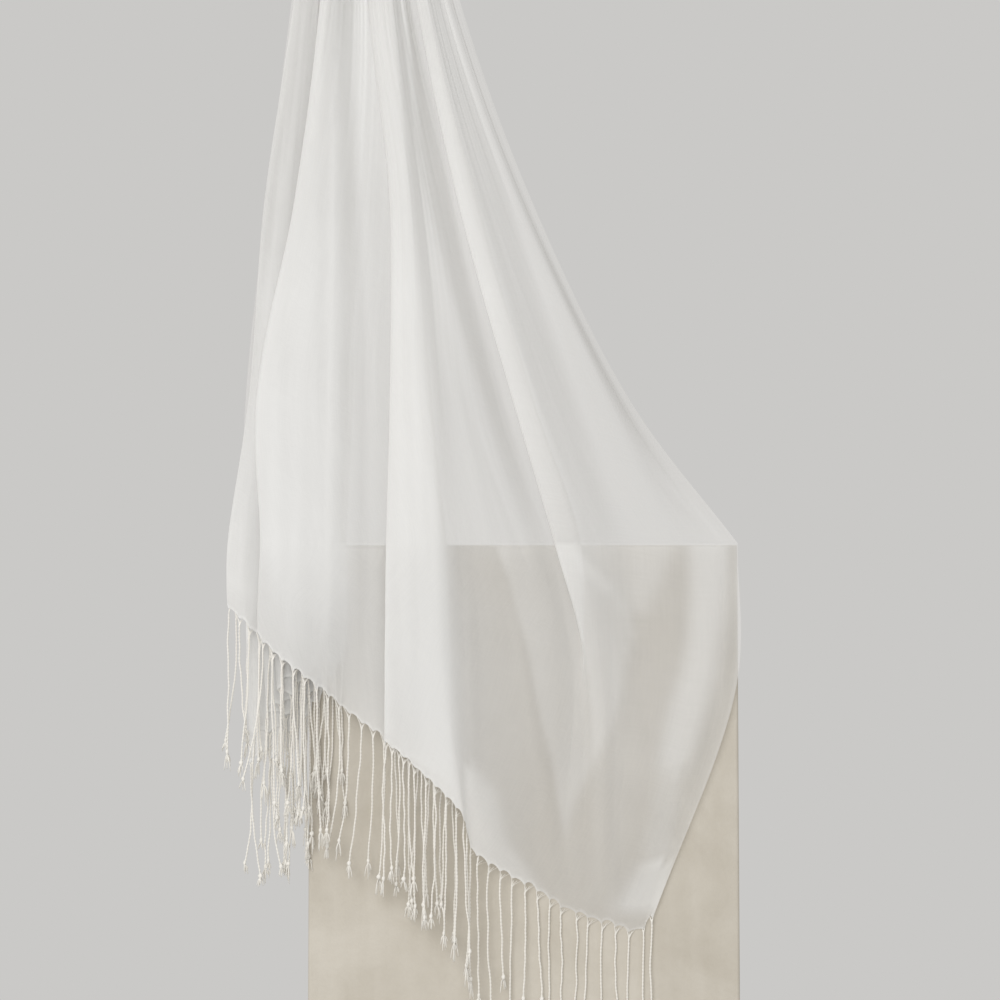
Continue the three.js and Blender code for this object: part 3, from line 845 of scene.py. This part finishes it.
def add(tree, kind, inputs=None, **settings):
    """Adds a shader node with its settings. An input takes a value, or a socket or node to link."""
    made = tree.nodes.new("ShaderNode" + kind)
    for name, value in settings.items():
        setattr(made, name, value)
    for name, value in (inputs or {}).items():
        if isinstance(value, bpy.types.Node):
            value = value.outputs[0]
        if isinstance(value, bpy.types.NodeSocket):
            tree.links.new(value, made.inputs[name])
        else:
            made.inputs[name].default_value = value
    return made


def new_material(name):
    """A material and its node tree, emptied."""
    material = bpy.data.materials.new(name)
    material.use_nodes = True
    material.node_tree.nodes.clear()
    return material, material.node_tree


# How much light one layer of the cloth lets straight through, seen square on.
LAYER_PASSES = 0.51
THREAD_SPACING_MM = 1.7  # the real one is about 0.4 mm, too fine to show, so it is drawn coarser
LEAST_COSINE = 0.12  # keeps cloth that is seen edge on from closing up
UNEVEN = {"base": 0.78, "slub": 0.12, "cloud": 0.20, "weave": 0.03}  # shares of the threads' cover
# Painted light: the second, whiter colour on close and lapped cloth stands in for light scattered between
# layers.
CLOTH_COLOURS_WITH_PAINTED_LIGHT = ("E3E2E0", "F7F7F6")  # one layer gives back less light than close threads do
COLOUR_PLACES = (0.25, 0.6)  # on a ramp over a quarter of the cover
CLOTH_GLOW = "F8F7F5"
GLOW_SHARE = 0.2


def sheer_voile():
    """Sheer modal voile, plain woven and washed: matt and soft, milky where it lies in layers.

    One layer passes a share of light. Seen at a slant the threads cover more, so that share is raised to
    the power of their cover over the cosine of the slant. Slubs make streaks both ways. The colour also
    whitens with the cover: painted light that stands in for light scattered back between stacked layers
    and lifts cloth lying in shade.
    """
    material, tree = new_material("sheer modal voile")
    uv = add(tree, "UVMap", uv_map="threads")
    split = add(tree, "SeparateXYZ", {0: uv})
    waves = []
    for axis in (0, 1):
        turn = add(tree, "Math", {0: split.outputs[axis], 1: 2 * math.pi / (THREAD_SPACING_MM * MM)},
                   operation="MULTIPLY")
        waves.append(add(tree, "Math", {0: turn}, operation="SINE"))
    weave = add(tree, "Math", {0: waves[0], 1: waves[1]}, operation="MULTIPLY")
    slubs = []
    for scale in ((900, 22, 1), (22, 900, 1)):
        place = add(tree, "Mapping", {"Vector": uv, "Scale": scale})
        slubs.append(add(tree, "TexNoise", {"Vector": place, "Scale": 1.0, "Detail": 2.0},
                         noise_dimensions="2D"))
    slub = add(tree, "Math", {0: slubs[0], 1: slubs[1]}, operation="ADD")
    cloud = add(tree, "TexNoise", {"Vector": uv, "Scale": 14.0, "Detail": 2.0},
                noise_dimensions="2D")
    uneven = UNEVEN["base"]
    for name, pattern in (("slub", slub), ("cloud", cloud), ("weave", weave)):
        uneven = add(tree, "Math", {0: pattern, 1: UNEVEN[name], 2: uneven}, operation="MULTIPLY_ADD")
    cover = add(tree, "Attribute", attribute_name="thread_cover_with_painted_light").outputs["Fac"]
    threads = add(tree, "Math", {0: cover, 1: uneven}, operation="MULTIPLY")
    slant = add(tree, "LayerWeight", {"Blend": 0.5}).outputs["Facing"]
    cosine = add(tree, "Math", {0: 1.0, 1: slant}, operation="SUBTRACT")
    cosine = add(tree, "Math", {0: cosine, 1: LEAST_COSINE}, operation="MAXIMUM")
    covered = add(tree, "Math", {0: threads, 1: cosine}, operation="DIVIDE")
    passes = add(tree, "Math", {0: LAYER_PASSES, 1: covered}, operation="POWER")
    bump = add(tree, "Bump", {"Height": uneven, "Strength": 0.2, "Distance": 0.0006})
    # Painted light: the base colour whitens as the cover grows, from one layer's colour to a painted light
    # on stacked and shaded cloth.
    quarter = add(tree, "Math", {0: cover, 1: 0.25}, operation="MULTIPLY")
    colour = add(tree, "ValToRGB", {0: quarter})
    for element, at, code in zip(colour.color_ramp.elements, COLOUR_PLACES, CLOTH_COLOURS_WITH_PAINTED_LIGHT):
        element.position, element.color = at, linear(code)
    yarn = add(tree, "BsdfPrincipled", {
        "Base Color": colour, "Roughness": 0.82, "Specular IOR Level": 0.25,
        "Sheen Weight": 0.12, "Sheen Roughness": 0.4, "Normal": bump})
    glow = add(tree, "BsdfTranslucent", {"Color": linear(CLOTH_GLOW), "Normal": bump})
    body = add(tree, "MixShader", {0: GLOW_SHARE, 1: yarn, 2: glow})
    clear = add(tree, "BsdfTransparent")
    cloth = add(tree, "MixShader", {0: passes, 1: body, 2: clear})
    add(tree, "OutputMaterial", {"Surface": cloth})
    return material


def spun_yarn():
    """The same modal yarn twisted into cords: solid, matt, a little warmer, fuzzy at grazing light."""
    material, tree = new_material("twisted modal yarn")
    place = add(tree, "TexCoord").outputs["Object"]
    fuzz = add(tree, "TexNoise", {"Vector": place, "Scale": 1400.0, "Detail": 2.0})
    tone = add(tree, "ValToRGB", {0: fuzz})
    for element, at, code in zip(tone.color_ramp.elements, (0.3, 0.7), ("EAE7E0", "F6F3ED")):
        element.position, element.color = at, linear(code)
    bump = add(tree, "Bump", {"Height": fuzz, "Strength": 0.5, "Distance": 0.0003})
    yarn = add(tree, "BsdfPrincipled", {
        "Base Color": tone, "Roughness": 0.85, "Specular IOR Level": 0.25,
        "Sheen Weight": 0.2, "Sheen Roughness": 0.5, "Normal": bump})
    add(tree, "OutputMaterial", {"Surface": yarn})
    return material


def mineral_paint():
    """Mineral paint brushed on board: chalky beige, mottled where coats overlap, finely grained."""
    material, tree = new_material("beige mineral paint on board")
    place = add(tree, "TexCoord").outputs["Object"]
    clouds = add(tree, "TexNoise", {"Vector": place, "Scale": 9.0, "Detail": 5.0,
                                              "Roughness": 0.62, "Distortion": 0.5})
    stretched = add(tree, "Mapping", {"Vector": place, "Scale": (60, 60, 9)})
    strokes = add(tree, "TexNoise", {"Vector": stretched, "Scale": 1.0, "Detail": 3.0})
    grain = add(tree, "TexNoise", {"Vector": place, "Scale": 420.0, "Detail": 2.0})
    tone = add(tree, "Math", {0: strokes, 1: 0.35, 2: clouds}, operation="MULTIPLY_ADD")
    tone = add(tree, "Math", {0: grain, 1: 0.12, 2: tone}, operation="MULTIPLY_ADD")
    ramp = add(tree, "ValToRGB", {0: tone})
    for element, at, code in zip(ramp.color_ramp.elements, (0.5, 0.92), ("BCB5A8", "CDC7BC")):
        element.position, element.color = at, linear(code)
    rough = add(tree, "Math", {0: clouds, 1: 0.2, 2: 0.72}, operation="MULTIPLY_ADD")
    height = add(tree, "Math", {0: strokes, 1: 1.5, 2: grain}, operation="MULTIPLY_ADD")
    bump = add(tree, "Bump", {"Height": height, "Strength": 0.35, "Distance": 0.0005})
    paint = add(tree, "BsdfPrincipled", {
        "Base Color": ramp, "Roughness": rough, "Specular IOR Level": 0.35, "Normal": bump})
    add(tree, "OutputMaterial", {"Surface": paint})
    return material


def powder_coat():
    """Off-white powder coat on steel: satin, with a fine orange peel of about a millimetre."""
    material, tree = new_material("satin off-white powder coat")
    place = add(tree, "TexCoord").outputs["Object"]
    peel = add(tree, "TexNoise", {"Vector": place, "Scale": 700.0, "Detail": 1.0})
    wear = add(tree, "TexNoise", {"Vector": place, "Scale": 18.0, "Detail": 3.0})
    rough = add(tree, "Math", {0: wear, 1: 0.18, 2: 0.32}, operation="MULTIPLY_ADD")
    bump = add(tree, "Bump", {"Height": peel, "Strength": 0.3, "Distance": 0.0002})
    coat = add(tree, "BsdfPrincipled", {
        "Base Color": linear("DEDBD5"), "Roughness": rough, "IOR": 1.5, "Normal": bump})
    add(tree, "OutputMaterial", {"Surface": coat})
    return material


def studio_floor():
    """A sheet of matt pale vinyl."""
    material, tree = new_material("matt pale floor")
    floor = add(tree, "BsdfPrincipled", {"Base Color": linear("D9D7D3"), "Roughness": 0.9})
    add(tree, "OutputMaterial", {"Surface": floor})
    return material


# ---------------------------------------------------------------- making it

SEED = 20
rng = np.random.default_rng(SEED)
cloth_points, parts, closer = cloth_grid()
front_roots, front_places = hem_arches(cloth_points, 0, TASSEL_SPACING, rng)
rear_roots, rear_places = hem_arches(cloth_points, len(cloth_points) - 1, REAR_TASSEL_SPACING, rng)
cloth_points = clear_of_plinth(cloth_points)
scarf = cloth_piece(cloth_points, parts, closer)
front_calm = np.interp(front_roots[:, 0], *np.array(TASSEL_CALM).T)
rear_calm = np.full(len(rear_roots), REAR_CALM)
front_tassels = tassel_piece("front_tassels", cloth_points[0], front_roots, front_places, front_calm, rng)
rear_tassels = tassel_piece("rear_tassels", cloth_points[-1], rear_roots, rear_places, rear_calm, rng)
rod = rod_piece()
stop_centre = (ROD_TIP - STOP_GAP - STOP_HALF, ROD_Y, ROD_Z)
stop = turned("rod_end_disc", STOP_PROFILE, [stop_centre], 0)
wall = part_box("wall_plate")[1][1] / MM
plate = turned("rod_wall_plate", PLATE_PROFILE, [(ROD_SIDE, wall, ROD_Z)], 1)
screws = turned("plate_screws", SCREW_PROFILE,
                [(ROD_SIDE, wall, ROD_Z + SCREW_REACH), (ROD_SIDE, wall, ROD_Z - SCREW_REACH)], 1)

voile, yarn, coat = sheer_voile(), spun_yarn(), powder_coat()
FINISHES = [
    (scarf, voile, "voile", ("front_fall", "rod_turn", "rear_fall")),
    (front_tassels, yarn, "tassels", ("front_fringe",)),
    (rear_tassels, yarn, "tassels", ("rear_fringe",)),
    (rod, coat, "rod_paint", ("scarf_rod",)),
    (stop, coat, "rod_paint", ("rod_stop",)),
    (plate, coat, "rod_paint", ("wall_plate",)),
    (screws, coat, "rod_paint", ()),
]
for piece, material, slot, nodes in FINISHES:
    piece.data.materials.append(material)
    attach(piece, "root")
    if nodes:
        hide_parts(*nodes)
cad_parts["plinth"].material_slots[0].material = mineral_paint()

# ---------------------------------------------------------------- floor and light

FLOOR_RADIUS = 1.35
FLOOR_SIDES = 96
around = np.arange(FLOOR_SIDES) / FLOOR_SIDES * 2 * np.pi
rings = np.array([0.0, 1.0])[:, None] * FLOOR_RADIUS
floor_points = np.stack([rings * np.cos(around), rings * np.sin(around), np.zeros((2, FLOOR_SIDES))],
                        axis=-1)
floor = closed(new_mesh("studio_floor", floor_points.reshape(-1, 3),
                        grid_faces(2, FLOOR_SIDES, ring=True)[:, ::-1], metres=1))
floor.data.materials.append(studio_floor())

LAMPS = [  # name, place, size, watts, aimed at
    ("key", (-1.7, -4.1, 2.7), 3.2, 90.0, (0.0, -0.13, 0.8)),
    ("fill", (-0.6, -4.2, 0.5), 2.8, 26.0, (0.0, -0.13, 0.7)),
    ("top", (-0.4, -1.2, 1.8), 0.6, 0.5, (-0.15, -0.12, 1.4)),
]
for name, place, size, watts, target in LAMPS:
    lamp = bpy.data.objects.new(name, bpy.data.lights.new(name, "AREA"))
    lamp.data.shape = "DISK"
    lamp.data.size = size
    lamp.data.energy = watts
    lamp.location = place
    aim = np.array(place) - np.array(target)
    lamp.rotation_euler = (math.atan2(math.hypot(aim[0], aim[1]), aim[2]), 0,
                           math.atan2(aim[0], -aim[1]))
    bpy.context.scene.collection.objects.link(lamp)

world = bpy.data.worlds.new("studio")
world.use_nodes = True
world.node_tree.nodes["Background"].inputs["Color"].default_value = linear("CAC9C7")
world.node_tree.nodes["Background"].inputs["Strength"].default_value = 1.0
bpy.context.scene.world = world
bpy.context.scene.view_settings.view_transform = "Standard"
